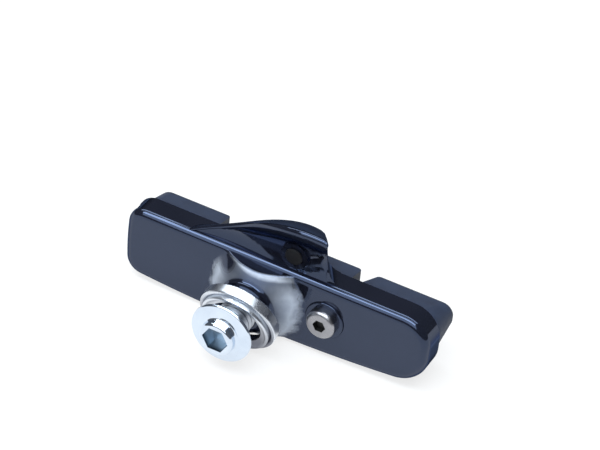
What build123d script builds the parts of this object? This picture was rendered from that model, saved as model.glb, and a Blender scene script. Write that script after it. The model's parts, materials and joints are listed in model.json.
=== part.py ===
from build123d import *
import math
import os

# Rim brake shoe for a road caliper, in millimetres, +Z up.
# X runs along the shoe from its open end to its closed, rounder end.
# Y runs from the bolt head towards the wheel rim.
# The origin is on the bolt axis, at the underside of the bolt's flange, where the caliper arm is clamped.

# Holder body
holder_length = 55.0
bolt_to_open_end = 24.6        # bolt axis to the open end
top_above_bolt = 6.8           # bolt axis to the straight upper edge
belly_below_bolt = 7.35        # bolt axis to the lowest point of the curved lower edge
belly_radius = 240.0           # lower edge follows the tyre's curve
holder_depth = 4.7             # back face to the lip round the pad
floor_thickness = 1.6          # metal behind the pad
open_top_radius = 3.2          # corners of the open end
open_bottom_radius = 3.2
open_end_bulge = 0.35          # open end bows out by this much between its corners
closed_top_radius = 5.0        # corners of the rounded end
closed_bottom_radius = 6.0
back_edge_radius = 1.25
lip_edge_radius = 0.25
arm_gap = 11.2                 # underside of the bolt's flange to the holder's back face

# Pad channel, a T slot open at one end
lip_wall = 1.4                 # lip, from the upper edge to the pad
slot_wall = 0.9                # wall beside the wider slot under the lip
slot_depth = 1.5               # height of the wider slot above the floor
channel_end_wall = 1.5         # metal beyond the channel at the rounded end
pad_clearance = 0.1

# Flared bolt seat on the back face
flare_radius = 8.45            # where the flare meets the back face
flare_height = 3.8
flare_blend = 1.5
post_radius = 4.5
post_height = 4.6              # back face to the rim of the ball seat
ball_radius = 6.0
flare_setback = 0.55           # flare stops this far short of the holder's edges
flare_edge_radius = 0.45

# Tyre guide, a wing that twists up and outwards from the upper edge
wing_start = -13.6             # tail, from the bolt axis
wing_corner = 12.75            # outer corner, from the bolt axis
wing_rise = 10.5               # upper edge to the outer edge of the wing
wing_shoulder = 6.9            # upper edge to the crease on the rim side
wing_flare = 7.2               # rim side to the outer edge
wing_edge = 1.4                # thickness of the outer edge
wing_tail_edge = 0.6           # thickness of that edge at the tail
wing_bulge = 0.6               # crown of the upper side
wing_end_bulge = 0.3           # crown at the slanted end
wing_scoop = 2.4               # hollow of the bolt side
wing_root_setback = 0.2        # back face to the foot of the scoop
wing_crease_end = 8.6          # crease ends here, from the bolt axis
wing_waist = 9.2               # end face at the rim side, from the bolt axis
wing_waist_rise = 3.3          # height of the waist above the upper edge
wing_end_round = 0.62
wing_root_blend = 2.3          # round foot of the end face
wing_sink = 2.0                # wing reaches into the body by this much
crease_radius = 0.35

# Brake pad
pad_rise = 6.25                # lip to the friction face
pad_lip_gap = 0.15             # blocks clear the lip by this much
friction_top = 3.5             # bolt axis to the upper edge of the friction face
friction_belly = 3.2           # bolt axis to the lowest point of the friction face
friction_end_taper = 0.3       # friction face is shorter at each end
block_top_inset = 1.5          # upper edge of the holder to the foot of the blocks
block_end_inset = 0.5
block_corner_radius = 2.2      # corners of the blocks at the open end
groove_pitch = 12.1
groove_first = -9.6            # first groove from the bolt axis
groove_count = 3
groove_mouth = 3.0
groove_mouth_round = 0.7
groove_root = 1.8
groove_root_shift = 0.5        # root lies nearer the open end than the mouth
groove_floor = 0.8             # rubber left between the groove and the lip
wear_line_width = 0.3
wear_line_depth = 0.25
wear_line_from_lip = 0.75
wear_line_margin = 0.6         # from the ends of each block

# Fixing bolt, M6 with a wide flange and a 4 mm hexagon socket
bolt_radius = 3.0
bolt_flange_radius = 5.35
bolt_flange_edge = 0.65
bolt_flange_crown = 0.35       # flange rises this much to the foot of the head
bolt_head_radius = 3.0
bolt_head_height = 1.5
bolt_head_round = 0.55
bolt_head_blend = 0.4          # hollow round between the head and the flange
hexagon_across_flats = 4.0
hexagon_depth = 2.6
bolt_reach = 0.6               # bolt ends this far behind the back face
thread_clearance = 0.05
tapped_hole_spare = 0.3

# Cup washer, stepped in front and hollow behind, leaning loosely on the bolt
washer_radius = 6.8
washer_thickness = 2.0         # at the rim
washer_bore_radius = 4.5
washer_back_round = 0.3
washer_front_round = 0.45
washer_rim_width = 0.45        # flat front of the rim
washer_groove_width = 0.35     # between the rim and the raised ring
washer_groove_depth = 0.3
washer_ring_width = 0.5
washer_ring_rise = 0.75        # ring stands out of the rim by this much
washer_dish = 0.55             # face inside the ring falls by this much to the bore
washer_back_width = 0.5        # flat back, outside the hollow
washer_hollow_depth = 0.9
washer_lean = 17.0             # degrees, top towards the bolt head
lean_pivot = 3.0               # lean axis crosses the bolt axis this far from the back face
washer_from_pivot = 1.7        # pivot to the back of the washer

# Pad screw, M3 with a button head and a 2 mm hexagon socket
pad_screw_x = 12.3
pad_screw_z = 0.3
pad_screw_radius = 1.5
pad_screw_head_radius = 2.6
pad_screw_head_height = 1.65
pad_screw_head_edge = 0.85     # straight edge under the round
pad_screw_top_radius = 1.95
pad_screw_socket = 2.0
pad_screw_socket_depth = 1.0
pad_screw_grip = 1.8           # length in the pad
pad_screw_land_radius = 3.4    # raised land under the head
pad_screw_land = 0.3
pad_screw_land_round = 0.2

# Slotted screw in the foot of the tyre guide
guide_screw_x = 5.4
guide_screw_above_edge = 2.7
guide_screw_radius = 1.5
guide_screw_head_radius = 2.75
guide_screw_head_height = 1.3
guide_screw_crown = 0.25
guide_screw_slot_width = 0.7
guide_screw_slot_depth = 0.7
guide_screw_slot_turn = 9.0    # degrees from upright
guide_screw_tip = 0.15         # end stands out of its boss
guide_boss_radius = 2.4
guide_boss_setback = 1.0       # back face to the boss
screw_hole_clearance = 0.05
screw_head_clearance = 0.1

# Places worked out from the sizes above
back_y = arm_gap
floor_y = back_y + floor_thickness
lip_y = back_y + holder_depth
friction_y = lip_y + pad_rise
open_x = -bolt_to_open_end
closed_x = open_x + holder_length
guide_screw_z = top_above_bolt + guide_screw_above_edge
channel_end_x = closed_x - channel_end_wall


def facing(y):
    """Plane square to Y, drawn in X and Z."""
    return Plane(origin=(0, y, 0), x_dir=(1, 0, 0), z_dir=(0, -1, 0))


def belly_z(x, belly):
    """Height of the curved lower edge, whose lowest point is belly below the bolt axis."""
    return belly_radius - math.sqrt(belly_radius ** 2 - x ** 2) - belly


def nearest(vertices, x, z):
    """Corner of a flat outline that lies nearest to a place."""
    return min(vertices, key=lambda v: (v.X - x) ** 2 + (v.Y - z) ** 2)


def shoe_outline(x0, x1, top, belly, open_top, open_bottom, closed_top, closed_bottom):
    """Side outline with a straight top, a curved bottom, a bowed open end and rounded corners."""
    corner_x = x0 + open_end_bulge
    low0 = belly_z(corner_x, belly)
    low1 = belly_z(x1, belly)
    with BuildSketch() as outline:
        with BuildLine():
            Line((corner_x, top), (x1, top))
            Line((x1, top), (x1, low1))
            ThreePointArc((x1, low1), (0, -belly), (corner_x, low0))
            ThreePointArc((corner_x, low0), (x0, (low0 + top) / 2), (corner_x, top))
        make_face()
        corners = [(corner_x, top, open_top), (corner_x, low0, open_bottom)]
        corners += [(x1, top, closed_top), (x1, low1, closed_bottom)]
        for x, z, radius in corners:
            fillet(nearest(outline.vertices(), x, z), radius)
    return outline.sketch


def holder_outline(inset=0.0):
    """Outline of the holder, drawn in by an even inset."""
    return shoe_outline(
        open_x + inset, closed_x - inset, top_above_bolt - inset, belly_below_bolt - inset,
        open_top_radius - inset, open_bottom_radius - inset,
        closed_top_radius - inset, closed_bottom_radius - inset,
    )


def channel_outline(wall, shrink):
    """Straight channel, open at one end and round at the other. What fills it is shrunk and ends flush."""
    top = top_above_bolt - wall - shrink
    low = max(belly_z(open_x, belly_below_bolt), belly_z(closed_x, belly_below_bolt)) + wall + shrink
    end = channel_end_x - wall - shrink
    radius = (top - low) / 2 * 0.9
    with BuildSketch() as outline:
        with BuildLine():
            Polyline((open_x, top), (end, top), (end, low), (open_x, low), close=True)
        make_face()
        for z in (top, low):
            fillet(nearest(outline.vertices(), end, z), radius)
    return outline.sketch & holder_outline(shrink) if shrink else outline.sketch


def along_rim(sketch, y, height):
    """Solid from a flat outline, standing from y towards the rim."""
    return extrude(facing(y) * sketch, amount=-height)


def turned(points, arcs=()):
    """Closed profile in radius and Y, turned about the bolt axis. arcs maps an edge to its middle point."""
    arcs = dict(arcs)
    with BuildSketch() as profile:
        with BuildLine():
            for index, start in enumerate(points):
                end = points[(index + 1) % len(points)]
                if index in arcs:
                    ThreePointArc(start, arcs[index], end)
                else:
                    Line(start, end)
        make_face()
    return revolve(profile.sketch, Axis.Y)


def flared_seat():
    """Cast flare, post and ball seat for the bolt, cut off just short of the holder's edges."""
    rim_y = back_y - post_height
    centre_y = rim_y + math.sqrt(ball_radius ** 2 - post_radius ** 2)
    half = post_radius / 2
    crown = (half, centre_y - math.sqrt(ball_radius ** 2 - half ** 2))
    sunk_y = floor_y - floor_thickness / 2
    points = [
        (0, sunk_y),
        (flare_radius + 4 * flare_blend, sunk_y),
        (flare_radius, back_y),
        (post_radius, back_y - flare_height),
        (post_radius, rim_y),
        (0, centre_y - ball_radius),
    ]
    with BuildSketch() as profile:
        with BuildLine():
            Polyline(*points[:5])
            ThreePointArc(points[4], crown, points[5])
            Line(points[5], points[0])
        make_face()
        for (x, y), radius in ((points[2], flare_blend), (points[3], flare_blend / 2)):
            fillet(nearest(profile.vertices(), x, y), radius)
    seat = revolve(profile.sketch, Axis.Y)
    reach = post_height + ball_radius
    seat = seat & along_rim(holder_outline(flare_setback), back_y - reach, reach + floor_thickness)
    upper = top_above_bolt - flare_setback
    rims = [
        edge for edge in seat.edges()
        if edge.center().Y < back_y - flare_edge_radius and edge.length > post_radius
        and abs(edge.center().Z) > upper - flare_setback and edge.geom_type != GeomType.CIRCLE
    ]
    return fillet(rims, flare_edge_radius) if rims else seat


def wing_end_plane():
    """Slanted end of the tyre guide, through its outer corner, the crease and the waist."""
    corner = Vector(wing_corner, lip_y - wing_flare, top_above_bolt + wing_rise)
    crease = Vector(wing_crease_end, lip_y, top_above_bolt + wing_shoulder)
    waist = Vector(wing_waist, lip_y, top_above_bolt + wing_waist_rise)
    normal = (corner - crease).cross(waist - crease)
    if normal.X < 0:
        normal = -normal
    return Plane(origin=waist, x_dir=Vector(0, 0, 1).cross(normal), z_dir=normal)


def wing_section(end_plane, x, turn, outer, crease, flare, inset=0.0):
    """Cross section of the tyre guide, turned from square (turn 0) to the slanted end (turn 1).

    x is added to the turned place. Heights and lean are shares of the full sizes, and inset draws it in.
    """
    foot = top_above_bolt - wing_sink
    rim = lip_y - inset
    shoulder = top_above_bolt + crease * wing_shoulder
    nose = Vector(lip_y - flare * wing_flare, top_above_bolt + outer * wing_rise)
    slope = math.atan2(nose.Y - shoulder, lip_y - nose.X)
    shoulder += inset * (math.tan(slope) - 1 / math.cos(slope))
    inward = Vector(math.cos(slope), -math.sin(slope))
    upward = Vector(math.sin(slope), math.cos(slope))
    growth = max(outer, 0.05)
    half = (wing_tail_edge + (wing_edge - wing_tail_edge) * growth) / 2 - inset
    nose += inward * inset
    over = nose + (inward + upward) * half
    under = nose + (inward - upward) * half
    low = Vector(rim, shoulder - crease_radius)
    high = Vector(rim, shoulder) - inward * crease_radius
    fold = (math.pi / 2 - slope) / 2
    bend = crease_radius * (1 / math.cos(fold) - 1) / math.tan(fold)
    corner = Vector(rim - bend * math.cos(fold), shoulder - bend * math.sin(fold))
    root = Vector(back_y + wing_root_setback + inset, foot)
    bulge = wing_bulge + (wing_end_bulge - wing_bulge) * turn
    crown = (high + over) / 2 + upward * bulge * growth
    hollow = (under + root) / 2 + Vector(wing_scoop * growth, 0)

    def placed(point):
        """Point of the section in space."""
        start, normal = end_plane.origin, end_plane.z_dir
        slide = normal.Y * (point.X - start.Y) + normal.Z * (point.Y - start.Z)
        return Vector(x + turn * (start.X - slide / normal.X), point.X, point.Y)

    low, corner, high, crown, over = (placed(p) for p in (low, corner, high, crown, over))
    nose, under, hollow, root = (placed(p) for p in (nose, under, hollow, root))
    heel = placed(Vector(rim, foot))
    outline = [
        Line(heel, low),
        ThreePointArc(low, corner, high),
        ThreePointArc(high, crown, over),
        ThreePointArc(over, nose, under),
        ThreePointArc(under, hollow, root),
        Line(root, heel),
    ]
    return make_face(outline)


def wing_foot(end_plane):
    """Round fillet between the slanted end and the holder's upper edge."""
    normal = end_plane.z_dir
    outward = Vector(normal.X, normal.Y, 0).normalized()
    lean = math.asin(normal.Z)
    slide = wing_waist_rise * math.tan(lean)
    start = Vector(wing_waist, lip_y, top_above_bolt) + outward * slide
    radius = wing_root_blend
    reach = radius * (1 - math.sin(lean)) / math.cos(lean)
    climb = radius * (1 - math.sin(lean))
    bisect = Vector(-math.cos(lean), -1 - math.sin(lean)).normalized() * radius
    profile_plane = Plane(origin=start, x_dir=outward, z_dir=outward.cross(Vector(0, 0, 1)))
    with BuildSketch(profile_plane) as profile:
        with BuildLine():
            Line((-wing_end_round, -wing_sink), (reach, -wing_sink))
            Line((reach, -wing_sink), (reach, 0))
            ThreePointArc((reach, 0), Vector(reach, radius) + bisect, (reach - radius * math.cos(lean), climb))
            Line((reach - radius * math.cos(lean), climb), (-wing_end_round, climb))
            Line((-wing_end_round, climb), (-wing_end_round, -wing_sink))
        make_face()
    bar = extrude(profile.sketch, amount=3 * holder_depth, both=True)
    root_y = back_y + back_edge_radius
    slab = Pos(wing_waist, (root_y + lip_y) / 2, top_above_bolt) * Box(
        holder_length, lip_y - root_y, holder_length
    )
    return bar & slab


def tyre_guide():
    """Wing lofted along the shoe, turning into its slanted end, with a rounded rim and a round foot."""
    end_plane = wing_end_plane()
    span = wing_corner - wing_start
    stations = [
        (wing_start, 0, -0.05, -0.05, 0.57),
        (wing_start + span * 0.21, 0, 0.225, 0.035, 0.435),
        (wing_start + span * 0.42, 0, 0.54, 0.485, 0.54),
        (wing_start + span * 0.62, 0, 0.855, 0.865, 0.85),
        ((wing_start + span * 0.66) / 2, 0.5, 1.0, 1.0, 0.99),
        (-wing_end_round, 1, 1.0, 0.985, 1.0),
    ]
    corner = wing_end_round * (1 - math.sqrt(0.5))
    form = stations[-1][2:]
    wing = loft([wing_section(end_plane, *station) for station in stations])
    rim = loft([
        wing_section(end_plane, -wing_end_round, 1, *form),
        wing_section(end_plane, -corner, 1, *form, corner),
        wing_section(end_plane, 0, 1, *form, wing_end_round),
    ], ruled=True)
    return wing, rim, wing_foot(end_plane)


def shoe_holder():
    """Cast holder: body, tyre guide, flared seat, pad channel and screw holes in one piece."""
    body = along_rim(holder_outline(), back_y, holder_depth)
    body = fillet(body.edges().group_by(Axis.Y)[0], back_edge_radius)
    body = fillet(body.edges().group_by(Axis.Y)[-1], lip_edge_radius)
    for piece in tyre_guide():
        body += piece
    land = along_rim(
        Pos(pad_screw_x, pad_screw_z) * Circle(pad_screw_land_radius), back_y - pad_screw_land,
        pad_screw_land + floor_thickness / 2,
    )
    body += fillet(land.edges().group_by(Axis.Y)[0], pad_screw_land_round)
    body += flared_seat()
    body -= along_rim(channel_outline(slot_wall, 0), floor_y, slot_depth)
    body -= along_rim(channel_outline(lip_wall, 0), floor_y, holder_depth)
    hole_end = back_y + bolt_reach + tapped_hole_spare
    body -= along_rim(Circle(bolt_radius + thread_clearance), 0, hole_end)
    body -= along_rim(
        Pos(pad_screw_x, pad_screw_z) * Circle(pad_screw_radius + screw_hole_clearance),
        back_y - pad_screw_land, holder_depth,
    )
    place = Pos(guide_screw_x, guide_screw_z)
    boss_y = back_y + guide_boss_setback
    body += along_rim(place * Circle(guide_boss_radius), boss_y, lip_y - boss_y - guide_screw_head_height)
    body -= along_rim(place * Circle(guide_screw_radius + screw_hole_clearance), back_y - wing_flare,
                      holder_depth + wing_flare)
    head_hole = guide_screw_head_radius + screw_head_clearance
    body -= along_rim(place * Circle(head_hole), lip_y - guide_screw_head_height, pad_rise)
    return body


def block_outline(end_inset, top, belly):
    """Outline of the rubber blocks, whose closed end is rounded in the holder's proportions."""
    start = open_x + end_inset
    end = closed_x - block_end_inset - end_inset
    holder_height = top_above_bolt - belly_z(closed_x, belly_below_bolt)
    share = (top - belly_z(end, belly)) / holder_height
    return shoe_outline(
        start, end, top, belly, block_corner_radius, block_corner_radius,
        share * closed_top_radius, share * closed_bottom_radius,
    )


def pad_blocks():
    """Tapered rubber blocks outside the holder, with grooves between them and a wear line on each."""
    foot_y = lip_y + pad_lip_gap
    foot = block_outline(0, top_above_bolt - block_top_inset, belly_below_bolt - block_top_inset)
    face = block_outline(friction_end_taper, friction_top, friction_belly)
    blocks = loft([facing(foot_y) * foot, facing(friction_y) * face])
    root_y = lip_y + groove_floor + groove_root / 2
    for number in range(groove_count):
        x = groove_first + number * groove_pitch
        root_x = x - groove_root_shift
        far_y = friction_y + groove_root
        mouth = groove_mouth / 2
        wide = mouth + 2 * groove_mouth_round
        with BuildSketch() as groove:
            with BuildLine():
                Polyline(
                    (root_x - groove_root / 2, root_y), (x - mouth, friction_y), (x - wide, friction_y),
                    (x - wide, far_y), (x + wide, far_y), (x + wide, friction_y), (x + mouth, friction_y),
                    (root_x + groove_root / 2, root_y),
                )
                ThreePointArc((root_x + groove_root / 2, root_y), (root_x, lip_y + groove_floor),
                              (root_x - groove_root / 2, root_y))
            make_face()
            for side in (x - mouth, x + mouth):
                fillet(nearest(groove.vertices(), side, friction_y), groove_mouth_round)
        blocks -= extrude(groove.sketch, amount=holder_length, both=True)
    return blocks


def wear_lines():
    """Thin cuts along the upper side of each block, close to the lip."""
    foot = top_above_bolt - block_top_inset
    share = (wear_line_from_lip - pad_lip_gap) / (pad_rise - pad_lip_gap)
    surface = foot - (foot - friction_top) * share
    grooves = [groove_first - groove_root_shift + number * groove_pitch for number in range(groove_count)]
    starts = [open_x + block_corner_radius] + [x + groove_root / 2 for x in grooves]
    ends = [x - groove_root / 2 for x in grooves] + [closed_x - closed_top_radius]
    cuts = []
    for start, end in zip(starts, ends):
        length = end - start - 2 * wear_line_margin
        cuts.append(
            Pos((start + end) / 2, lip_y + wear_line_from_lip, surface)
            * Box(length, wear_line_width, 2 * wear_line_depth)
        )
    return cuts


def brake_pad():
    """Rubber pad: tongue in the T slot, neck between the lips and blocks outside."""
    tongue_depth = slot_depth - pad_clearance
    pad = along_rim(channel_outline(slot_wall, pad_clearance), floor_y, tongue_depth)
    pad += along_rim(channel_outline(lip_wall, pad_clearance), floor_y, lip_y - floor_y + pad_lip_gap)
    pad += pad_blocks()
    for cut in wear_lines():
        pad -= cut
    pad -= along_rim(
        Pos(pad_screw_x, pad_screw_z) * Circle(pad_screw_radius + screw_hole_clearance),
        floor_y, pad_screw_grip + pad_clearance,
    )
    return pad


def fixing_bolt():
    """Bolt with a wide crowned flange and a round head, turned about its axis, with a hexagon socket."""
    crown_y = -bolt_flange_edge - bolt_flange_crown
    head_y = crown_y - bolt_head_height
    tail_y = back_y + bolt_reach
    chamfer_size = bolt_radius / 4
    points = [
        (0, head_y),
        (bolt_head_radius - bolt_head_round, head_y),
        (bolt_head_radius, head_y + bolt_head_round),
        (bolt_head_radius, crown_y - bolt_head_blend),
        (bolt_head_radius + bolt_head_blend, crown_y),
        (bolt_flange_radius - bolt_flange_edge / 3, -bolt_flange_edge),
        (bolt_flange_radius - bolt_flange_edge / 3, 0),
        (bolt_radius, 0),
        (bolt_radius, tail_y - chamfer_size),
        (bolt_radius - chamfer_size, tail_y),
        (0, tail_y),
    ]
    diagonal = 1 - math.sqrt(0.5)
    arcs = {
        1: (bolt_head_radius - bolt_head_round * diagonal, head_y + bolt_head_round * diagonal),
        3: (bolt_head_radius + bolt_head_blend * diagonal, crown_y - bolt_head_blend * diagonal),
        5: (bolt_flange_radius, -bolt_flange_edge / 2),
    }
    bolt = turned(points, arcs)
    socket = RegularPolygon(hexagon_across_flats / 2, 6, major_radius=False)
    return bolt - along_rim(socket, head_y, hexagon_depth)


def cup_washer():
    """One turned washer: hollow back, round rim, groove, raised ring and dished face, set leaning."""
    ring_y = -washer_thickness - washer_ring_rise
    face_y = ring_y + washer_dish
    groove_y = -washer_thickness + washer_groove_depth
    groove_out = washer_radius - washer_rim_width
    ring_out = groove_out - washer_groove_width
    ring_in = ring_out - washer_ring_width
    hollow = washer_radius - washer_back_width
    inner = washer_bore_radius
    points = [
        (inner, -washer_hollow_depth),
        (hollow, 0),
        (washer_radius - washer_back_round, 0),
        (washer_radius, -washer_back_round),
        (washer_radius, -washer_thickness + washer_front_round),
        (groove_out, -washer_thickness),
        (ring_out, groove_y),
        (ring_out, ring_y + washer_ring_width / 2),
        (ring_in, ring_y + washer_ring_width / 4),
        (inner, face_y),
    ]
    back = washer_back_round * (1 - math.sqrt(0.5))
    arcs = {
        0: ((inner + hollow) / 2, -washer_hollow_depth * 0.55),
        2: (washer_radius - back, -back),
        4: (washer_radius - back, -washer_thickness + washer_front_round / 3),
        7: (ring_out - washer_ring_width * 0.4, ring_y),
        8: ((ring_in + inner) / 2, face_y - washer_dish * 0.15),
    }
    place = Pos(0, back_y - lean_pivot, 0) * Rot(washer_lean, 0, 0) * Pos(0, -washer_from_pivot, 0)
    return place * turned(points, arcs)


def pad_screw():
    """Button head screw through the holder's floor into the pad."""
    seat_y = back_y - pad_screw_land
    crown_y = seat_y - pad_screw_head_height
    tail_y = floor_y + pad_screw_grip
    edge_y = seat_y - pad_screw_head_edge
    half = math.sqrt(0.5)
    bulge = (pad_screw_top_radius + (pad_screw_head_radius - pad_screw_top_radius) * half,
             edge_y + (crown_y - edge_y) * half)
    points = [
        (0, crown_y), (pad_screw_top_radius, crown_y), (pad_screw_head_radius, edge_y),
        (pad_screw_head_radius, seat_y), (pad_screw_radius, seat_y), (pad_screw_radius, tail_y), (0, tail_y),
    ]
    screw = turned(points, {1: bulge})
    screw -= along_rim(RegularPolygon(pad_screw_socket / 2, 6, major_radius=False), crown_y,
                       pad_screw_socket_depth)
    return Pos(pad_screw_x, 0, pad_screw_z) * screw


def guide_screw():
    """Slotted screw with a low crown, sunk in the foot of the tyre guide."""
    seat_y = lip_y - guide_screw_head_height
    tip_y = back_y + guide_boss_setback - guide_screw_tip
    points = [
        (0, tip_y),
        (guide_screw_radius, tip_y),
        (guide_screw_radius, seat_y),
        (guide_screw_head_radius, seat_y),
        (guide_screw_head_radius, lip_y),
        (0, lip_y + guide_screw_crown),
    ]
    half = guide_screw_head_radius / 2
    screw = turned(points, {4: (half, lip_y + guide_screw_crown * 0.75)})
    slot_y = lip_y + guide_screw_crown - guide_screw_slot_depth
    slot = Box(guide_screw_slot_width, 2 * guide_screw_slot_depth, 3 * guide_screw_head_radius)
    screw -= Pos(0, slot_y + guide_screw_slot_depth, 0) * Rot(0, guide_screw_slot_turn, 0) * slot
    return Pos(guide_screw_x, 0, guide_screw_z) * screw


os.makedirs("parts", exist_ok=True)
export_step(shoe_holder(), "parts/shoe_holder.step")
export_step(brake_pad(), "parts/brake_pad.step")
export_step(fixing_bolt(), "parts/fixing_bolt.step")
export_step(cup_washer(), "parts/cup_washer.step")
export_step(pad_screw(), "parts/pad_screw.step")
export_step(guide_screw(), "parts/guide_screw.step")
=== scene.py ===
"""Looks of a road bicycle brake shoe: painted holder, rubber pad, bolt, cup washer and two screws."""

import json
import logging
import math
from collections.abc import Callable
from dataclasses import asdict, dataclass, fields
from enum import Enum
from functools import partial, reduce

import bpy
from mathutils import Matrix, Vector

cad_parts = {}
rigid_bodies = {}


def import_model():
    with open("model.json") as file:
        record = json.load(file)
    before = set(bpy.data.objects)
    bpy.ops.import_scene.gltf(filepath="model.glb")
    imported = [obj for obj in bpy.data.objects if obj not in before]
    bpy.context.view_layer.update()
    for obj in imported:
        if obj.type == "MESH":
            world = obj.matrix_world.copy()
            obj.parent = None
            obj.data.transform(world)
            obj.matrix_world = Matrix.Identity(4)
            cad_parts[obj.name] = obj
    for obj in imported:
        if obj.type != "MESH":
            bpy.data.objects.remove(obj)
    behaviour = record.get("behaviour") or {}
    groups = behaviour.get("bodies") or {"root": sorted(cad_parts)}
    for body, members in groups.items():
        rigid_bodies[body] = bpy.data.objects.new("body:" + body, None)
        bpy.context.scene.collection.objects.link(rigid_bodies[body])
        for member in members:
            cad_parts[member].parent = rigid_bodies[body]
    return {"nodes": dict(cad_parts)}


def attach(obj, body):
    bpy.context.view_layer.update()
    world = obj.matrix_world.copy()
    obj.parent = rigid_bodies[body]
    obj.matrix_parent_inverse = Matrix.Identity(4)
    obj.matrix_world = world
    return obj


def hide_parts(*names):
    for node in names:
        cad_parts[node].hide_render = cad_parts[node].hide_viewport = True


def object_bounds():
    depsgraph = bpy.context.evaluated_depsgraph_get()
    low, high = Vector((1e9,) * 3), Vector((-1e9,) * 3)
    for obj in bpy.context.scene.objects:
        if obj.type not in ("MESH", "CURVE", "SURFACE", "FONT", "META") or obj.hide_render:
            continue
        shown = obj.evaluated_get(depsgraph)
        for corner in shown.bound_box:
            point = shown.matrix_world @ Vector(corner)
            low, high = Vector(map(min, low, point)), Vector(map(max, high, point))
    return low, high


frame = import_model()
CAD_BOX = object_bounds()

LOG = logging.getLogger("brake_shoe")
MM = 0.001
Triple = tuple[float, float, float]
Range = tuple[float, float]
Socket = bpy.types.NodeSocket
Value = Socket | Triple | float


class Slot(Enum):
    """Material slots of the record, one for each finish."""

    PAINT = "black_paint"
    RUBBER = "pad_rubber"
    CHROME = "bolt_chrome"
    ZINC = "washer_zinc"
    STAINLESS = "stainless"
    DARK_STEEL = "dark_steel"


class Mix(Enum):
    """Kinds of Mix node: its data type, the numbers of its two inputs and the number of its output."""

    COLOUR = ("RGBA", 6, 7, 2)
    VALUE = ("FLOAT", 2, 3, 0)


class NodeSheet:
    """Lays nodes and links in one node tree."""

    def __init__(self, tree: bpy.types.NodeTree) -> None:
        """Takes the tree to fill.

        Args:
            tree: A material's or group's node tree.
        """
        self.tree = tree

    def add(self, kind: str, values: dict | None = None, **settings: object) -> bpy.types.Node:
        """Adds one node.

        Args:
            kind: The node's type name.
            values: Input values by socket name or number.
            settings: Properties of the node.

        Returns:
            The new node.
        """
        node = self.tree.nodes.new(kind)
        for key, value in settings.items():
            setattr(node, key, value)
        for key, value in (values or {}).items():
            node.inputs[key].default_value = value
        return node

    def join(self, source: Socket, target: Socket) -> None:
        """Links an output to an input."""
        self.tree.links.new(source, target)

    def feed(self, value: Value, target: Socket) -> None:
        """Gives an input what it takes.

        Args:
            value: A socket to link, a plain linear colour or a plain number.
            target: The input.
        """
        if isinstance(value, Socket):
            self.join(value, target)
        elif isinstance(value, tuple):
            target.default_value = (*value, 1.0)
        else:
            target.default_value = value

    def mix(self, mask: Socket, first: Value, second: Value, kind: Mix = Mix.COLOUR) -> Socket:
        """Mixes two colours or two numbers by a mask.

        Args:
            mask: 0 gives the first, 1 the second.
            first: A changing or plain colour or number.
            second: Another of the same kind.
            kind: Whether they are colours or numbers.

        Returns:
            The result's socket.
        """
        data_type, *inputs, output = kind.value
        node = self.add("ShaderNodeMix", data_type=data_type)
        self.join(mask, node.inputs[0])
        for value, number in zip((first, second), inputs):
            self.feed(value, node.inputs[number])
        return node.outputs[output]

    def span(self, value: Socket, start: float, end: float, low: float = 0.0, high: float = 1.0) -> Socket:
        """Maps a value from one range to another, clamped.

        Args:
            value: The value that changes over the surface.
            start: Where the first range starts.
            end: Where the first range ends.
            low: Result at the start.
            high: Result at the end.

        Returns:
            The mapped value's socket.
        """
        node = self.add("ShaderNodeMapRange",
                        {"From Min": start, "From Max": end, "To Min": low, "To Max": high})
        self.join(value, node.inputs["Value"])
        return node.outputs["Result"]

    def maths(self, operation: str, *values: Socket | float) -> Socket:
        """Works out one value from others.

        Args:
            operation: Name of the sum.
            values: Sockets or plain numbers, in the sum's order.

        Returns:
            The result's socket.
        """
        node = self.add("ShaderNodeMath", operation=operation)
        for value, target in zip(values, node.inputs):
            self.feed(value, target)
        return node.outputs[0]

    def fold(self, operation: str, *values: Socket) -> Socket:
        """Works one sum through a row of values, two at a time."""
        return reduce(partial(self.maths, operation), values)

    def axes(self, place: Socket) -> dict[str, Socket]:
        """Splits coordinates.

        Args:
            place: The coordinates.

        Returns:
            The sockets of X, Y and Z, by these names.
        """
        split = self.add("ShaderNodeSeparateXYZ")
        self.join(place, split.inputs[0])
        return {output.name: output for output in split.outputs}

    def radius(self, place: Socket, x: float = 0.0, z: float = 0.0) -> Socket:
        """Distance from a line along Y.

        Args:
            place: The coordinates.
            x: Where the line crosses X.
            z: Where the line crosses Z.

        Returns:
            The distance's socket.
        """
        shift = self.add("ShaderNodeVectorMath", {1: (x, 0.0, z)}, operation="SUBTRACT")
        self.join(place, shift.inputs[0])
        flat = self.add("ShaderNodeVectorMath", {1: (1.0, 0.0, 1.0)}, operation="MULTIPLY")
        self.join(shift.outputs[0], flat.inputs[0])
        length = self.add("ShaderNodeVectorMath", operation="LENGTH")
        self.join(flat.outputs[0], length.inputs[0])
        return length.outputs["Value"]


@dataclass(frozen=True)
class Grain:
    """Soft cloudy grain."""

    scale: float
    detail: float


@dataclass(frozen=True)
class Specks:
    """Scattered small round specks: a share of all cells holds one each."""

    scale: float
    share: float
    size: float


@dataclass(frozen=True)
class Rings:
    """Fine uneven rings round the Y axis, as a lathe leaves them."""

    scale: float


Texture = Grain | Specks | Rings


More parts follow.
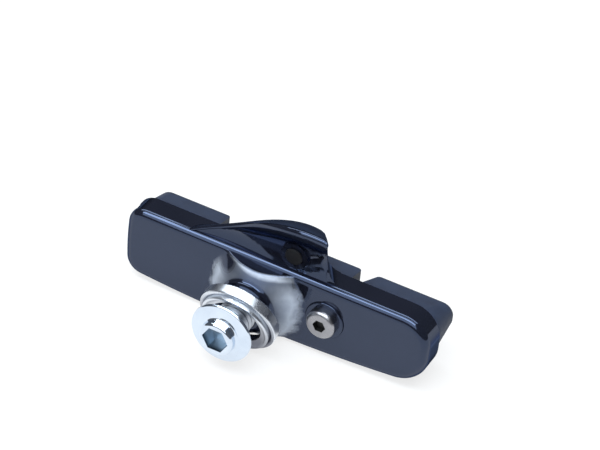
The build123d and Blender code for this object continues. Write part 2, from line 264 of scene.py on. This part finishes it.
class Effects:
    """Shader node groups that several finishes share, one for each kind of texture."""

    noise_reach: Range = (0.3, 0.7)
    grain_roughness: float = 0.55
    ring_detail: float = 3.0

    def __init__(self) -> None:
        """Builds each group once."""
        kinds = ((Grain, self._fill_grain), (Specks, self._fill_specks), (Rings, self._fill_rings))
        self.groups = {kind: self._group(kind, fill) for kind, fill in kinds}

    def mask(self, sheet: NodeSheet, place: Socket, texture: Texture) -> Socket:
        """Places a texture's group with its own values.

        Args:
            sheet: The material's nodes.
            place: The coordinates that it reads.
            texture: The values.

        Returns:
            The texture's socket, from 0 to 1.
        """
        node = sheet.add("ShaderNodeGroup", asdict(texture), node_tree=self.groups[type(texture)])
        sheet.join(place, node.inputs["place"])
        return node.outputs["mask"]

    def _group(self, kind: type[Texture],
               fill: Callable[[NodeSheet, bpy.types.Node], Socket]) -> bpy.types.NodeTree:
        """Makes one group with a place, the texture's values and a mask out.

        Args:
            kind: The texture, whose fields become the group's inputs.
            fill: Lays the nodes from the group's inputs to its mask.

        Returns:
            The group's node tree.
        """
        tree = bpy.data.node_groups.new(kind.__name__.lower(), "ShaderNodeTree")
        tree.interface.new_socket("place", in_out="INPUT", socket_type="NodeSocketVector")
        for field in fields(kind):
            tree.interface.new_socket(field.name, in_out="INPUT", socket_type="NodeSocketFloat")
        tree.interface.new_socket("mask", in_out="OUTPUT", socket_type="NodeSocketFloat")
        sheet = NodeSheet(tree)
        mask = fill(sheet, sheet.add("NodeGroupInput"))
        sheet.join(mask, sheet.add("NodeGroupOutput").inputs["mask"])
        return tree

    def _fill_grain(self, sheet: NodeSheet, start: bpy.types.Node) -> Socket:
        """Lays the nodes of the grain.

        Args:
            sheet: The group's nodes.
            start: The group's input node.

        Returns:
            The mask's socket.
        """
        noise = sheet.add("ShaderNodeTexNoise", {"Roughness": self.grain_roughness})
        for source, target in (("place", "Vector"), ("scale", "Scale"), ("detail", "Detail")):
            sheet.join(start.outputs[source], noise.inputs[target])
        return sheet.span(noise.outputs["Fac"], *self.noise_reach)

    def _fill_specks(self, sheet: NodeSheet, start: bpy.types.Node) -> Socket:
        """Lays the nodes of the specks, which a cell's random colour chooses and sizes.

        Args:
            sheet: The group's nodes.
            start: The group's input node.

        Returns:
            The mask's socket.
        """
        cells = sheet.add("ShaderNodeTexVoronoi")
        for source, target in (("place", "Vector"), ("scale", "Scale")):
            sheet.join(start.outputs[source], cells.inputs[target])
        parts = sheet.add("ShaderNodeSeparateColor")
        sheet.join(cells.outputs["Color"], parts.inputs[0])
        chosen = sheet.maths("LESS_THAN", parts.outputs[0], start.outputs["share"])
        reach = sheet.maths("MULTIPLY", start.outputs["size"], parts.outputs[1])
        near = sheet.maths("LESS_THAN", cells.outputs["Distance"], reach)
        return sheet.maths("MULTIPLY", chosen, near)

    def _fill_rings(self, sheet: NodeSheet, start: bpy.types.Node) -> Socket:
        """Lays the nodes of the rings.

        Args:
            sheet: The group's nodes.
            start: The group's input node.

        Returns:
            The mask's socket.
        """
        noise = sheet.add("ShaderNodeTexNoise", {"Detail": self.ring_detail}, noise_dimensions="1D")
        sheet.join(sheet.radius(start.outputs["place"]), noise.inputs["W"])
        sheet.join(start.outputs["scale"], noise.inputs["Scale"])
        return sheet.span(noise.outputs["Fac"], *self.noise_reach)


class Coat:
    """A material under way: a Principled shader, its object coordinates and helpers."""

    def __init__(self, name: str, effects: Effects) -> None:
        """Starts a bare material.

        Args:
            name: The material's name.
            effects: The shared node groups.
        """
        self.effects = effects
        self.material = bpy.data.materials.new(name)
        self.material.use_nodes = True
        self.material.node_tree.nodes.clear()
        self.sheet = NodeSheet(self.material.node_tree)
        self.shader = self.sheet.add("ShaderNodeBsdfPrincipled")
        output = self.sheet.add("ShaderNodeOutputMaterial")
        self.sheet.join(self.shader.outputs[0], output.inputs["Surface"])
        self.place = self.sheet.add("ShaderNodeTexCoord").outputs["Object"]

    def give(self, name: str, value: Value) -> None:
        """Gives one of the shader's inputs a socket, a plain colour or a plain number."""
        self.sheet.feed(value, self.shader.inputs[name])

    def texture(self, texture: Texture, place: Socket | None = None) -> Socket:
        """Lays a texture on the object's coordinates, or on others if they are given."""
        return self.effects.mask(self.sheet, place or self.place, texture)

    def centred(self, centre: Triple, lean: float = 0.0) -> Socket:
        """Coordinates from a turned piece's own centre, with its axis along Y.

        Args:
            centre: A point on the piece's axis.
            lean: Turn of that axis about X, in radians.

        Returns:
            The coordinates' socket.
        """
        shift = self.sheet.add("ShaderNodeVectorMath", {1: centre}, operation="SUBTRACT")
        self.sheet.join(self.place, shift.inputs[0])
        turn = self.sheet.add("ShaderNodeMapping", {"Rotation": (-lean, 0.0, 0.0)})
        self.sheet.join(shift.outputs[0], turn.inputs["Vector"])
        return turn.outputs[0]

    def relief(self, height: Socket, depth: float, strength: float = 1.0) -> None:
        """Gives the surface a fine relief.

        Args:
            height: The height from 0 to 1.
            depth: Height of the relief in metres.
            strength: How strongly it shows.
        """
        bump = self.sheet.add("ShaderNodeBump", {"Strength": strength, "Distance": depth})
        self.sheet.join(height, bump.inputs["Height"])
        self.give("Normal", bump.outputs[0])


@dataclass(frozen=True)
class GlossPaint:
    """Gloss black paint with a faint orange peel and dust.

    It is darker and duller at a slant, and worn to a pale haze in a ring round the bolt seat, with painted
    shade near the bolt and under the ridge where the ring ends above, a painted highlight along that ridge,
    and a small spot left without haze.
    """

    colour: Triple = (0.0058, 0.0064, 0.0108)
    thin_colour: Triple = (0.007, 0.0077, 0.0128)
    cloud: Grain = Grain(160.0, 3.0)
    gloss: Range = (0.04, 0.09)
    shine: float = 1.0
    sheen: Triple = (0.42, 0.55, 0.9)
    peel: Grain = Grain(900.0, 1.0)
    peel_depth: float = 0.0003 * MM
    dust: Specks = Specks(700.0, 0.03, 0.1)
    dust_colour: Triple = (0.16, 0.17, 0.19)
    # Slant of the view, from 0 face on to 1 along the surface
    slant_dull: Range = (0.55, 0.8)
    slant_roughness: float = 0.8
    slant_dark: Range = (0.42, 0.58)
    slant_depth: float = 0.75
    # Colours and dullness of the worn ring, and the rubbing that makes it fully dull and fully pale
    haze_light: Triple = (0.5, 0.54, 0.6)
    haze_dark: Triple = (0.36, 0.39, 0.44)
    haze_patches: Grain = Grain(450.0, 3.0)
    haze_roughness: float = 0.42
    haze_dull_from: float = 0.7
    haze_pale_from: float = 0.4
    # Limits of the worn ring: distances from the bolt's axis, a height and a place along the axis
    ring_inside: Range = (4.85 * MM, 5.1 * MM)
    ring_outside: Range = (7.7 * MM, 9.3 * MM)
    ring_mottle: float = 1.1 * MM
    ring_top: Range = (6.05 * MM, 6.25 * MM)
    ring_back: Range = (11.25 * MM, 11.6 * MM)
    # Painted shade on the haze: darker near the bolt and under the ridge
    thin_near: Range = (4.9 * MM, 7.6 * MM)
    thin_near_share: float = 0.16
    thin_under: Range = (3.0 * MM, 5.0 * MM)
    thin_under_share: float = 0.3
    # Painted highlight along the ridge: heights, their slope along X, where it starts along X, and how
    # patchy it is
    ridge_colour: Triple = (0.42, 0.45, 0.5)
    ridge_band: Range = (5.4 * MM, 5.95 * MM)
    ridge_slope: float = 0.08
    ridge_start: Range = (-5.9 * MM, -5.3 * MM)
    ridge_patches: Range = (0.1, 0.7)
    ridge_least: float = 0.6
    # Spot left without haze: place in X and Z, and distances from there
    kept_spot: Range = (-5.4 * MM, 5.7 * MM)
    kept_reach: Range = (1.4 * MM, 2.9 * MM)

    def material(self, effects: Effects) -> bpy.types.Material:
        """Makes the paint.

        Args:
            effects: The shared node groups.

        Returns:
            The material.
        """
        coat = Coat("gloss_black_paint", effects)
        sheet = coat.sheet
        cloud, dust, patches = (coat.texture(each) for each in (self.cloud, self.dust, self.haze_patches))
        rubbed, haze_shade_highlight, ridge_highlight = self._wear(coat, patches)
        sound = sheet.mix(cloud, self.colour, self.thin_colour)
        # Pale haze, with the ridge's painted highlight laid over it
        worn_with_highlight = sheet.mix(ridge_highlight, sheet.mix(patches, self.haze_dark, self.haze_light), self.ridge_colour)
        coat.give("Base Color", sheet.mix(dust, sheet.mix(haze_shade_highlight, sound, worn_with_highlight), self.dust_colour))
        slant = sheet.add("ShaderNodeLayerWeight").outputs["Facing"]
        coat.give("Roughness", sheet.fold(
            "MAXIMUM", sheet.span(cloud, 0.0, 1.0, *self.gloss),
            sheet.span(rubbed, 0.0, self.haze_dull_from, 0.0, self.haze_roughness),
            sheet.span(slant, *self.slant_dull, 0.0, self.slant_roughness)))
        coat.give("Metallic", sheet.maths(
            "MULTIPLY", sheet.span(slant, *self.slant_dark, 0.0, self.slant_depth),
            sheet.span(rubbed, 0.0, self.haze_pale_from, 1.0, 0.0)))
        coat.give("Specular IOR Level", self.shine)
        coat.give("Specular Tint", self.sheen)
        coat.relief(coat.texture(self.peel), self.peel_depth)
        return coat.material

    def _wear(self, coat: Coat, patches: Socket) -> tuple[Socket, Socket, Socket]:
        """Masks of the wear round the bolt seat, with the haze's painted shade and the ridge's painted
        highlight.

        Args:
            coat: The material under way.
            patches: Grain that makes the wear uneven.

        Returns:
            Where the paint is rubbed, how strongly the haze shows there after its painted shade, and the
            painted highlight along the ridge.
        """
        sheet = coat.sheet
        axes, radius = sheet.axes(coat.place), sheet.radius(coat.place)
        # Painted highlight along the flare's upper ridge
        ridge_highlight = self._ridge(sheet, axes, patches)
        # A small spot of the ring is left without haze
        off_spot = sheet.span(sheet.radius(coat.place, *self.kept_spot), *self.kept_reach)
        rubbed = sheet.maths("MULTIPLY", self._ring(sheet, axes, radius, patches),
                             sheet.maths("MAXIMUM", off_spot, ridge_highlight))
        # Painted shade: the haze is darker near the bolt and under the ridge
        painted_shade = sheet.maths("MULTIPLY", sheet.span(radius, *self.thin_near, self.thin_near_share, 1.0),
                           sheet.span(axes["Z"], *self.thin_under, 1.0, self.thin_under_share))
        # Haze dimmed by its painted shade, and at full strength on the ridge's painted highlight
        haze_shade_highlight = sheet.maths("MULTIPLY", rubbed, sheet.maths("MAXIMUM", painted_shade, ridge_highlight))
        return rubbed, haze_shade_highlight, ridge_highlight

    def _ring(self, sheet: NodeSheet, axes: dict[str, Socket], radius: Socket, patches: Socket) -> Socket:
        """Mask of the worn ring on the flare, fading out unevenly on the back face.

        Args:
            sheet: The material's nodes.
            axes: The place, split into X, Y and Z.
            radius: Distance from the bolt's axis.
            patches: Grain that breaks the ring's edge up.

        Returns:
            The mask's socket, 0 on sound paint.
        """
        uneven = sheet.maths("MULTIPLY_ADD", patches, self.ring_mottle, radius)
        return sheet.fold("MULTIPLY", sheet.span(uneven, *self.ring_outside, 1.0, 0.0),
                          sheet.span(radius, *self.ring_inside),
                          sheet.span(axes["Z"], *self.ring_top, 1.0, 0.0),
                          sheet.span(axes["Y"], *self.ring_back, 1.0, 0.0))

    def _ridge(self, sheet: NodeSheet, axes: dict[str, Socket], patches: Socket) -> Socket:
        """Mask of the painted highlight along the flare's upper ridge, wider towards the closed end.

        Args:
            sheet: The material's nodes.
            axes: The place, split into X, Y and Z.
            patches: Grain that makes it uneven.

        Returns:
            The mask's socket.
        """
        lifted = sheet.maths("MULTIPLY_ADD", axes["X"], self.ridge_slope, axes["Z"])
        return sheet.fold("MULTIPLY", sheet.span(lifted, *self.ridge_band),
                          sheet.span(axes["X"], *self.ridge_start),
                          sheet.span(patches, *self.ridge_patches, self.ridge_least, 1.0))


@dataclass(frozen=True)
class PadRubber:
    """Dark rubber: smooth moulded sides, and a ground friction face with pale filler specks."""

    side_colour: Triple = (0.027, 0.037, 0.067)
    side_shade: Triple = (0.02, 0.027, 0.05)
    side_cloud: Grain = Grain(420.0, 4.0)
    side_roughness: Range = (0.52, 0.64)
    face_colour: Triple = (0.018, 0.021, 0.034)
    face_shade: Triple = (0.03, 0.035, 0.054)
    face_roughness: float = 0.72
    face_range: Range = (21.92 * MM, 22.0 * MM)
    filler: Specks = Specks(5600.0, 0.24, 0.45)
    filler_colour: Triple = (0.13, 0.15, 0.19)
    grain: Grain = Grain(5200.0, 2.0)
    grain_depth: float = 0.004 * MM
    grain_strength: float = 0.6
    shine: float = 0.22

    def material(self, effects: Effects) -> bpy.types.Material:
        """Makes the rubber.

        Args:
            effects: The shared node groups.

        Returns:
            The material.
        """
        coat = Coat("pad_rubber", effects)
        sheet = coat.sheet
        face = sheet.span(sheet.axes(coat.place)["Y"], *self.face_range)
        cloud, grain, filler = (coat.texture(each) for each in (self.side_cloud, self.grain, self.filler))
        sides = sheet.mix(cloud, self.side_shade, self.side_colour)
        ground = sheet.mix(grain, self.face_colour, self.face_shade)
        coat.give("Base Color", sheet.mix(face, sides, sheet.mix(filler, ground, self.filler_colour)))
        rough = sheet.span(cloud, 0.0, 1.0, *self.side_roughness)
        coat.give("Roughness", sheet.mix(face, rough, self.face_roughness, Mix.VALUE))
        coat.give("Specular IOR Level", self.shine)
        coat.relief(grain, self.grain_depth, self.grain_strength)
        return coat.material


@dataclass(frozen=True)
class Recess:
    """A dull hollow in a turned piece with painted shade, whose colour changes from its front inwards along
    Y.
    """

    radius: float
    front: float
    front_colour: Triple
    inner_colour: Triple
    roughness: float
    fade: float = 1.1 * MM


@dataclass(frozen=True)
class TurnedMetal:
    """Plated or bare metal turned on a lathe, with fine rings, a cloudy sheen and, if given, painted shade
    in its hollow.
    """

    name: str
    colour: Triple
    shade: Triple
    roughness: Range
    cloud: Grain = Grain(350.0, 4.0)
    rings: Rings = Rings(5000.0)
    ring_depth: float = 0.0008 * MM
    centre: Triple = (0.0, 0.0, 0.0)
    lean: float = 0.0
    recess: Recess | None = None

    def material(self, effects: Effects) -> bpy.types.Material:
        """Makes the metal.

        Args:
            effects: The shared node groups.

        Returns:
            The material.
        """
        coat = Coat(self.name, effects)
        sheet = coat.sheet
        cloud = coat.texture(self.cloud)
        place = coat.centred(self.centre, self.lean)
        colour = sheet.mix(cloud, self.colour, self.shade)
        rough = sheet.span(cloud, 0.0, 1.0, *self.roughness)
        if self.recess:
            inside, hollow_shade = self._hollow(coat, place, self.recess)
            colour = sheet.mix(inside, colour, hollow_shade)
            rough = sheet.maths("MAXIMUM", rough, sheet.span(inside, 0.0, 1.0, 0.0, self.recess.roughness))
        coat.give("Base Color", colour)
        coat.give("Metallic", 1.0)
        coat.give("Roughness", rough)
        coat.relief(coat.texture(self.rings, place), self.ring_depth)
        return coat.material

    def _hollow(self, coat: Coat, place: Socket, recess: Recess) -> tuple[Socket, Socket]:
        """Mask and painted shade colour of the piece's hollow.

        Args:
            coat: The material under way.
            place: Coordinates from the piece's centre, along its own axis.
            recess: The hollow.

        Returns:
            The mask's socket and the painted shade's.
        """
        sheet = coat.sheet
        along = sheet.axes(coat.centred(self.centre))["Y"]
        near = sheet.maths("LESS_THAN", sheet.radius(place), recess.radius)
        deep = sheet.maths("GREATER_THAN", along, recess.front)
        depth = sheet.span(along, recess.front, recess.front + recess.fade)
        return (sheet.maths("MULTIPLY", near, deep),
                sheet.mix(depth, recess.front_colour, recess.inner_colour))


class Bench:
    """Selection and edit mode helpers for modelling by operators."""

    merge_within: float = 0.001 * MM
    cut_within: float = 0.0001 * MM

    @staticmethod
    def clear() -> None:
        """Deselects everything."""
        for piece in bpy.context.view_layer.objects:
            piece.select_set(False)

    @classmethod
    def only(cls, piece: bpy.types.Object) -> None:
        """Selects one object and nothing else, and makes it active.

        Args:
            piece: The object.
        """
        cls.clear()
        piece.select_set(True)
        bpy.context.view_layer.objects.active = piece

    @classmethod
    def edit(cls, piece: bpy.types.Object, work: Callable[[], None]) -> None:
        """Does some work on the whole of a piece in edit mode.

        Args:
            piece: The object to edit.
            work: Calls mesh operators on what is selected.
        """
        cls.only(piece)
        bpy.ops.object.mode_set(mode="EDIT")
        bpy.ops.mesh.select_all(action="SELECT")
        work()
        bpy.ops.object.mode_set(mode="OBJECT")

    @classmethod
    def cut(cls, at: float, side: float) -> None:
        """Cuts the mesh in edit mode across Y, drops one side and closes the cut.

        Args:
            at: Where along Y it is cut.
            side: 1 drops what lies beyond, -1 what lies before.
        """
        bpy.ops.mesh.select_all(action="SELECT")
        bpy.ops.mesh.bisect(plane_co=(0.0, at, 0.0), plane_no=(0.0, side, 0.0),
                            use_fill=True, clear_outer=True, threshold=cls.cut_within)

    @classmethod
    def merged(cls, node: str, name: str, flat: float | None = None) -> bpy.types.Object:
        """Copies a CAD node with its triangles joined into one skin.

        Args:
            node: The CAD node.
            name: Name of the copy.
            flat: Faces that turn by less than this many degrees become one, if given.

        Returns:
            The copy.
        """
        mesh = frame["nodes"][node].data.copy()
        mesh.name = name
        mesh.materials.clear()
        piece = bpy.data.objects.new(name, mesh)
        bpy.context.scene.collection.objects.link(piece)

        def join() -> None:
            """Joins the loose triangles and the flat faces."""
            bpy.ops.mesh.customdata_custom_splitnormals_clear()
            bpy.ops.mesh.remove_doubles(threshold=cls.merge_within)
            if flat is not None:
                bpy.ops.mesh.dissolve_limited(angle_limit=math.radians(flat))

        cls.edit(piece, join)
        return piece

    @classmethod
    def soften(cls, piece: bpy.types.Object, width: float, angle: float, steps: int) -> None:
        """Rounds the sharp edges of a piece a little.

        Args:
            piece: The object.
            width: Width of the rounding in metres.
            angle: Edges sharper than this many degrees are rounded.
            steps: Faces across the rounding.
        """
        cls.only(piece)
        bevel = piece.modifiers.new("soft_edges", "BEVEL")
        bevel.width = width
        bevel.segments = steps
        bevel.limit_method = "ANGLE"
        bevel.angle_limit = math.radians(angle)
        bevel.use_clamp_overlap = True
        bpy.ops.object.modifier_apply(modifier=bevel.name)

    @classmethod
    def smooth(cls, piece: bpy.types.Object, angle: float) -> None:
        """Shades a piece smooth except at edges sharper than the angle.

        Args:
            piece: The object.
            angle: Angle in degrees.
        """
        cls.only(piece)
        bpy.ops.object.shade_smooth_by_angle(angle=math.radians(angle))
        even = piece.modifiers.new("even_shading", "WEIGHTED_NORMAL")
        even.keep_sharp = True
        bpy.ops.object.modifier_apply(modifier=even.name)

    @classmethod
    def stand_in(cls, piece: bpy.types.Object, node: str, slot: Slot, finish: bpy.types.Material) -> None:
        """Lets a piece stand for a CAD node and gives it its finish.

        Args:
            piece: The object.
            node: The CAD node that it replaces.
            slot: The record's material slot.
            finish: The material.
        """
        cls.dress(piece, slot, finish)
        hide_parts(node)

    @classmethod
    def dress(cls, piece: bpy.types.Object, slot: Slot, finish: bpy.types.Material) -> None:
        """Gives a piece its finish and puts it on the body.

        Args:
            piece: The object.
            slot: The record's material slot.
            finish: The material.
        """
        piece.data.materials.clear()
        piece.data.materials.append(finish)
        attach(piece, "root")
        LOG.info("%s: %d faces, %s", piece.name, len(piece.data.polygons), slot.value)


@dataclass
class Holder:
    """The painted shoe holder with its flared seat and tyre guide."""

    crease_angle: float = 38.0
    paint: GlossPaint = GlossPaint()

    def build(self, effects: Effects) -> None:
        """Makes the smooth holder and paints it.

        Args:
            effects: The shared node groups.
        """
        skin = Bench.merged("shoe_holder", "holder_skin")
        Bench.smooth(skin, self.crease_angle)
        Bench.stand_in(skin, "shoe_holder", Slot.PAINT, self.paint.material(effects))


@dataclass
class Pad:
    """The rubber pad with its blocks, grooves and wear lines."""

    flat_angle: float = 0.3
    edge_round: float = 0.14 * MM
    edge_angle: float = 32.0
    edge_steps: int = 2
    crease_angle: float = 40.0
    rubber: PadRubber = PadRubber()

    def build(self, effects: Effects) -> None:
        """Makes the pad with softly moulded edges.

        Args:
            effects: The shared node groups.
        """
        skin = Bench.merged("brake_pad", "pad_skin", self.flat_angle)
        Bench.soften(skin, self.edge_round, self.edge_angle, self.edge_steps)
        Bench.smooth(skin, self.crease_angle)
        Bench.stand_in(skin, "brake_pad", Slot.RUBBER, self.rubber.material(effects))


@dataclass
class Bolt:
    """The fixing bolt: flange, hexagon socket and a threaded shank.

    The flat of a crest and the place of a root are shares of the pitch.
    """

    head_end: float = 0.4 * MM
    head_crease: float = 40.0
    crest_radius: float = 2.98 * MM
    root_radius: float = 2.42 * MM
    pitch: float = 1.0 * MM
    crest_flat: float = 0.14
    root_at: float = 0.57
    thread_start: float = 0.14 * MM
    thread_end: float = 11.6 * MM
    thread_steps: int = 48
    thread_crease: float = 25.0
    chrome: TurnedMetal = TurnedMetal(
        "bolt_chrome", colour=(0.69, 0.77, 0.87), shade=(0.62, 0.7, 0.81), roughness=(0.06, 0.13),
        # Painted shade in the hexagon socket: near black at its mouth, less dark further in
        recess=Recess(radius=2.34 * MM, front=-2.44 * MM, front_colour=(0.02, 0.024, 0.03),
                      inner_colour=(0.44, 0.53, 0.62), roughness=0.3))
    thread_metal: TurnedMetal = TurnedMetal(
        "bolt_thread", colour=(0.46, 0.49, 0.54), shade=(0.36, 0.39, 0.44), roughness=(0.28, 0.4))

    def build(self, effects: Effects) -> None:
        """Makes the head without its plain shank, then the thread.

        Args:
            effects: The shared node groups.
        """
        head = Bench.merged("fixing_bolt", "bolt_head")
        Bench.edit(head, partial(Bench.cut, self.head_end, 1.0))
        Bench.smooth(head, self.head_crease)
        Bench.stand_in(head, "fixing_bolt", Slot.CHROME, self.chrome.material(effects))
        thread = self._thread()
        Bench.smooth(thread, self.thread_crease)
        Bench.dress(thread, Slot.CHROME, self.thread_metal.material(effects))

    def _thread(self) -> bpy.types.Object:
        """Winds one tooth of the thread along the shank.

        Returns:
            The threaded shank, closed at both ends.
        """
        Bench.clear()
        bpy.ops.mesh.primitive_plane_add(size=self.pitch)
        shank = bpy.context.object
        shank.name = shank.data.name = "bolt_thread"
        Bench.edit(shank, self._draw_tooth)
        screw = shank.modifiers.new("wind", "SCREW")
        screw.axis = "Y"
        screw.screw_offset = self.pitch
        # One turn more at each end, which the cuts take off
        screw.iterations = math.ceil((self.thread_end - self.thread_start) / self.pitch) + 2
        screw.steps = screw.render_steps = self.thread_steps
        screw.use_merge_vertices = True
        screw.merge_threshold = Bench.merge_within
        Bench.only(shank)
        bpy.ops.object.modifier_apply(modifier=screw.name)
        Bench.edit(shank, self._trim)
        return shank

    def _draw_tooth(self) -> None:
        """Shrinks the plane to a point and draws a tooth from it: crest, flat, root and next crest."""
        depth = self.crest_radius - self.root_radius
        bpy.ops.mesh.merge(type="CENTER")
        bpy.ops.transform.translate(value=(self.crest_radius, self.thread_start - self.pitch, 0.0))
        for rise, share in ((0.0, self.crest_flat), (-depth, self.root_at - self.crest_flat),
                            (depth, 1.0 - self.root_at)):
            bpy.ops.mesh.extrude_vertices_move(
                TRANSFORM_OT_translate={"value": (rise, share * self.pitch, 0.0)})

    def _trim(self) -> None:
        """Joins the turns, cuts both ends flat and turns the faces outwards."""
        bpy.ops.mesh.remove_doubles(threshold=Bench.merge_within)
        Bench.cut(self.thread_start, -1.0)
        Bench.cut(self.thread_end, 1.0)
        bpy.ops.mesh.select_all(action="SELECT")
        bpy.ops.mesh.normals_make_consistent(inside=False)


@dataclass
class Washer:
    """The zinc plated cup washer that leans on the ball of the seat, with painted shade on its lower face.
    """

    crease_angle: float = 40.0
    zinc: TurnedMetal = TurnedMetal(
        "washer_zinc", colour=(0.77, 0.81, 0.87), shade=(0.63, 0.67, 0.73), roughness=(0.24, 0.34),
        ring_depth=0.0015 * MM, centre=(0.0, 8.2 * MM, 0.0), lean=math.radians(17.0),
        # Painted shade on the washer: pale at its front, dark further back along Y
        recess=Recess(radius=6.7 * MM, front=-5.0 * MM, front_colour=(0.7, 0.74, 0.8),
                      inner_colour=(0.19, 0.2, 0.24), roughness=0.3, fade=2.0 * MM))

    def build(self, effects: Effects) -> None:
        """Makes the washer.

        Args:
            effects: The shared node groups.
        """
        ring = Bench.merged("cup_washer", "washer_ring")
        Bench.smooth(ring, self.crease_angle)
        Bench.stand_in(ring, "cup_washer", Slot.ZINC, self.zinc.material(effects))


@dataclass
class Screws:
    """The pad's lock screw and the slotted screw of the tyre guide."""

    crease_angle: float = 40.0
    stainless: TurnedMetal = TurnedMetal(
        "pad_screw_stainless", colour=(0.38, 0.38, 0.4), shade=(0.28, 0.28, 0.3), roughness=(0.24, 0.34),
        centre=(12.3 * MM, 11.0 * MM, 0.3 * MM),
        # Painted shade in the screw's socket
        recess=Recess(radius=1.18 * MM, front=-1.69 * MM, front_colour=(0.05, 0.05, 0.05),
                      inner_colour=(0.08, 0.08, 0.08), roughness=0.5))
    dark_steel: TurnedMetal = TurnedMetal(
        "guide_screw_steel", colour=(0.07, 0.068, 0.07), shade=(0.045, 0.044, 0.045), roughness=(0.3, 0.45),
        centre=(5.4 * MM, 11.0 * MM, 9.5 * MM))

    def build(self, effects: Effects) -> None:
        """Makes both screws.

        Args:
            effects: The shared node groups.
        """
        for node, name, slot, metal in (
                ("pad_screw", "pad_screw_skin", Slot.STAINLESS, self.stainless),
                ("guide_screw", "guide_screw_skin", Slot.DARK_STEEL, self.dark_steel)):
            skin = Bench.merged(node, name)
            Bench.smooth(skin, self.crease_angle)
            Bench.stand_in(skin, node, slot, metal.material(effects))


@dataclass(frozen=True)
class Softbox:
    """One flat soft light, level along X, that looks at the X axis."""

    name: str
    place: Triple
    width: float
    height: float
    brightness: float
    colour: Triple = (0.9, 0.96, 1.0)

    def hang(self) -> None:
        """Adds the light, with the power that gives its brightness."""
        lamp = bpy.data.lights.new(self.name, "AREA")
        lamp.shape = "RECTANGLE"
        lamp.size = self.width
        lamp.size_y = self.height
        lamp.energy = self.brightness * math.pi * self.width * self.height
        lamp.color = self.colour
        hung = bpy.data.objects.new(self.name, lamp)
        hung.location = self.place
        aim = Vector((0.0, -self.place[1], -self.place[2]))
        hung.rotation_euler = aim.to_track_quat("-Z", "Y").to_euler()
        bpy.context.scene.collection.objects.link(hung)


@dataclass
class Studio:
    """White floor, a wide soft panel with a brighter core, a narrow strip behind, and the camera."""

    floor_size: float = 4.0
    floor_gap: float = 0.01 * MM
    floor_white: Triple = (0.9, 0.9, 0.9)
    floor_glow: float = 0.75
    lights: tuple[Softbox, ...] = (
        Softbox("front_panel", (-0.02, -0.21, 0.375), 0.6, 0.56, 2.3),
        Softbox("panel_core", (-0.05, -0.15, 0.39), 0.56, 0.12, 7.0),
        Softbox("back_strip", (-0.15, 0.19, 0.45), 0.9, 0.13, 5.0),
    )
    room_colour: Triple = (0.11, 0.115, 0.13)
    target: Triple = (2.47 * MM, 19.57 * MM, 9.80 * MM)
    right: Triple = (0.8771, 0.4736, 0.0799)
    upward: Triple = (-0.3530, 0.5227, 0.7760)
    toward: Triple = (0.3261, -0.7090, 0.6252)
    distance: float = 0.5
    nearest: float = 0.01
    lens: float = 187.8
    sensor_width: float = 36.0

    def build(self) -> None:
        """Sets up floor, light, room and camera."""
        self._floor()
        for light in self.lights:
            light.hang()
        self._room()
        self._camera()
        bpy.context.scene.view_settings.view_transform = "Standard"

    def _floor(self) -> None:
        """Lays the floor just under the shoe."""
        Bench.clear()
        low = CAD_BOX[0].z - self.floor_gap
        bpy.ops.mesh.primitive_plane_add(size=self.floor_size, location=(0.0, 0.0, low))
        floor = bpy.context.object
        floor.name = "floor"
        floor.data.materials.append(self._paper())

    def _paper(self) -> bpy.types.Material:
        """Makes white paper that glows a little where it is seen, straight or mirrored.

        Returns:
            The material.
        """
        paper = bpy.data.materials.new("floor_paper")
        paper.use_nodes = True
        paper.node_tree.nodes.clear()
        sheet = NodeSheet(paper.node_tree)
        matt = sheet.add("ShaderNodeBsdfDiffuse", {"Color": (*self.floor_white, 1.0)})
        glow = sheet.add("ShaderNodeEmission")
        ray = sheet.add("ShaderNodeLightPath").outputs
        seen = sheet.fold("MAXIMUM", ray["Is Camera Ray"], ray["Is Glossy Ray"], ray["Is Transmission Ray"])
        mix = sheet.add("ShaderNodeMixShader")
        sheet.join(sheet.maths("MULTIPLY", seen, self.floor_glow), mix.inputs[0])
        sheet.join(matt.outputs[0], mix.inputs[1])
        sheet.join(glow.outputs[0], mix.inputs[2])
        output = sheet.add("ShaderNodeOutputMaterial")
        sheet.join(mix.outputs[0], output.inputs["Surface"])
        return paper

    def _room(self) -> None:
        """Gives the room a dim even light."""
        world = bpy.data.worlds.new("room")
        world.use_nodes = True
        world.node_tree.nodes["Background"].inputs["Color"].default_value = (*self.room_colour, 1.0)
        bpy.context.scene.world = world

    def _camera(self) -> None:
        """Places the camera with the view's own right, up and back directions."""
        data = bpy.data.cameras.new("camera")
        data.lens = self.lens
        data.sensor_width = self.sensor_width
        data.clip_start = self.nearest
        camera = bpy.data.objects.new("camera", data)
        bpy.context.scene.collection.objects.link(camera)
        turn = Matrix((self.right, self.upward, self.toward)).transposed().to_4x4()
        spot = Vector(self.target) + Vector(self.toward) * self.distance
        camera.matrix_world = Matrix.Translation(spot) @ turn
        bpy.context.scene.camera = camera


def main() -> None:
    """Builds the shoe piece by piece, then the studio."""
    logging.basicConfig(level=logging.INFO, format="%(name)s: %(message)s")
    effects = Effects()
    for part in (Holder(), Pad(), Bolt(), Washer(), Screws()):
        part.build(effects)
    Studio().build()


if __name__ == "__main__":
    main()
